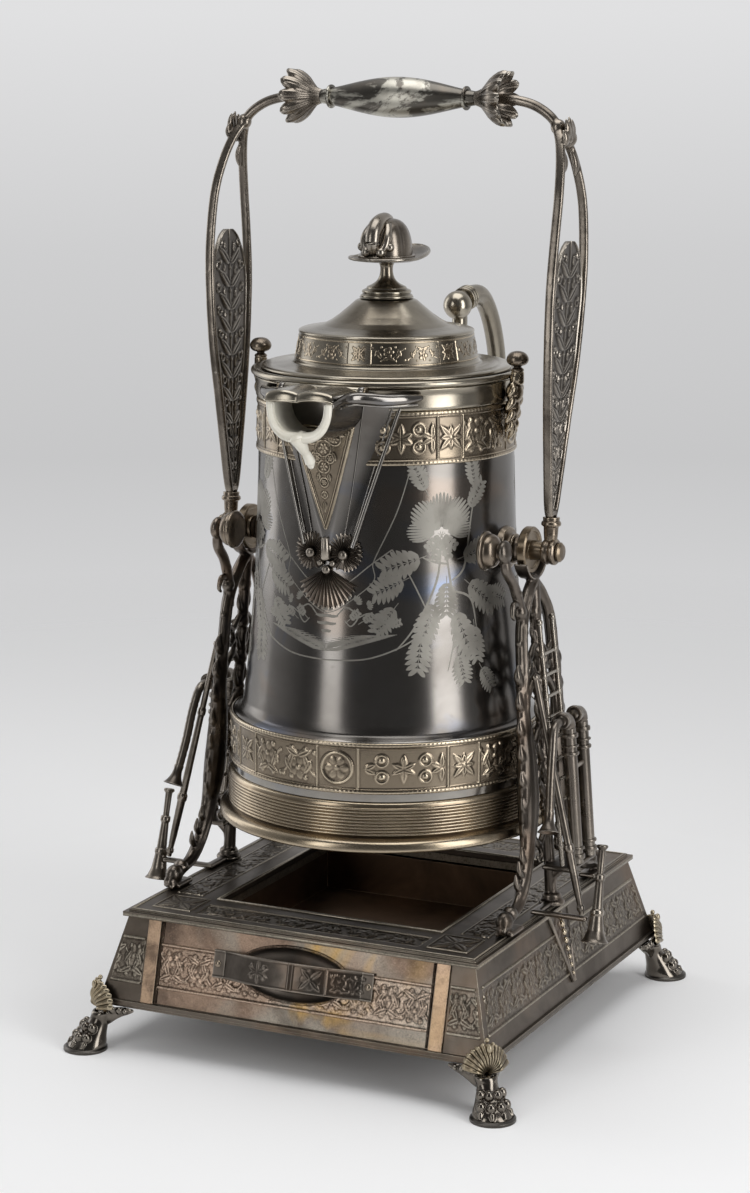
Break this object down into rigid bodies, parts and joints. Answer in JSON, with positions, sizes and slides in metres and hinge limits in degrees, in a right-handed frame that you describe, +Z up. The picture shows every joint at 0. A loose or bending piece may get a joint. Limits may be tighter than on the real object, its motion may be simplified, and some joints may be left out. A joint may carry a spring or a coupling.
{
  "type": "tilting water pitcher on stand",
  "caption": "Lidded silver pitcher that tilts between two openwork uprights under a tall bail handle, above a square footed base with a drip drawer.",
  "frame": {"origin": "on the table under the middle of the whole object", "axes": "+Z up, -Y to the front, where the spout and the drawer are, +X to the right when facing the front from outside"},
  "size_m": [0.3188, 0.3355, 0.5883],
  "materials": {
    "silver_plate": "polished silver plate with brownish tarnish",
    "dark_casting": "nearly black oxidised silver plate, bright on the high points",
    "tarnished_plate": "embossed plate with brownish gold tarnish",
    "dark_sheet": "dark grey polished plate",
    "worn_copper": "plate worn through to copper",
    "brown_tray": "dark brown, half dull",
    "white_glaze": "white glaze",
    "worn_brass": "worn brass"
  },
  "bodies": {
    "stand": {"base_casing": "dark_sheet", "top_plate": "dark_sheet", "base_floor": "dark_sheet", "bottom_moulding": "dark_sheet", "drawer_runners": "dark_sheet", "front_strips": "worn_copper", "side_drops": "tarnished_plate", "foot_front_left": "dark_casting", "foot_front_right": "dark_casting", "foot_rear_left": "dark_casting", "foot_rear_right": "dark_casting", "foot_pads": "dark_casting", "foot_screws": "worn_brass", "upright_left": "dark_casting", "upright_right": "dark_casting", "bearing_left": "worn_brass", "bearing_right": "worn_brass", "trunnion_pins": "worn_brass", "scroll_knobs": "dark_casting", "ladder_left": "dark_casting", "ladder_right": "dark_casting", "pipes_left": "dark_casting", "pipes_right": "dark_casting", "trumpet_left": "dark_casting", "trumpet_right": "dark_casting", "nozzle_left": "dark_casting", "nozzle_right": "dark_casting", "upright_screws": "worn_brass"},
    "drawer": {"drip_tray": "brown_tray", "drawer_front": "worn_copper", "finger_cup": "tarnished_plate", "strap_pull": "dark_casting", "pull_rivets": "worn_brass"},
    "pitcher": {"outer_body": "silver_plate", "inner_liner": "white_glaze", "body_bottom": "tarnished_plate", "foot_ring": "tarnished_plate", "lower_band": "tarnished_plate", "upper_band": "tarnished_plate", "rim_ring": "silver_plate", "spout_casing": "silver_plate", "spout_lining": "white_glaze", "spout_palmettes": "dark_casting", "trunnion_sockets": "worn_brass", "rim_knobs": "tarnished_plate", "rim_brackets": "tarnished_plate", "back_handle": "silver_plate", "lid_hinge_plate": "worn_brass", "lid_hinge_pin": "worn_brass", "flap_hinge_pin": "worn_brass"},
    "flap": {"spout_flap": "silver_plate"},
    "lid": {"lid_dome": "silver_plate", "lid_collar": "dark_casting", "helmet_finial": "dark_casting"},
    "bail": {"bail_arm_left": "dark_casting", "bail_arm_right": "dark_casting", "bail_hubs": "worn_brass", "leaf_panels": "dark_casting", "grip": "silver_plate", "grip_flares": "dark_casting"}
  },
  "joints": [
    {"name": "pitcher_tilt", "type": "hinge", "parent": "stand", "child": "pitcher", "pos_m": [0, -0.0122, 0.305], "axis": [1, 0, 0], "range_deg": [-8, 65]},
    {"name": "lid_hinge", "type": "hinge", "parent": "pitcher", "child": "lid", "pos_m": [0, 0.0653, 0.4143], "axis": [-1, 0, 0], "range_deg": [0, 75]},
    {"name": "flap_hinge", "type": "hinge", "parent": "pitcher", "child": "flap", "pos_m": [0, -0.0988, 0.4066], "axis": [-1, 0, 0], "range_deg": [0, 50]},
    {"name": "bail_swing", "type": "hinge", "parent": "stand", "child": "bail", "pos_m": [0, -0.0122, 0.305], "axis": [1, 0, 0], "range_deg": [-75, 80]},
    {"name": "drawer_slide", "type": "slide", "parent": "stand", "child": "drawer", "axis": [0, -1, 0], "range_m": [0, 0.13]}
  ]
}
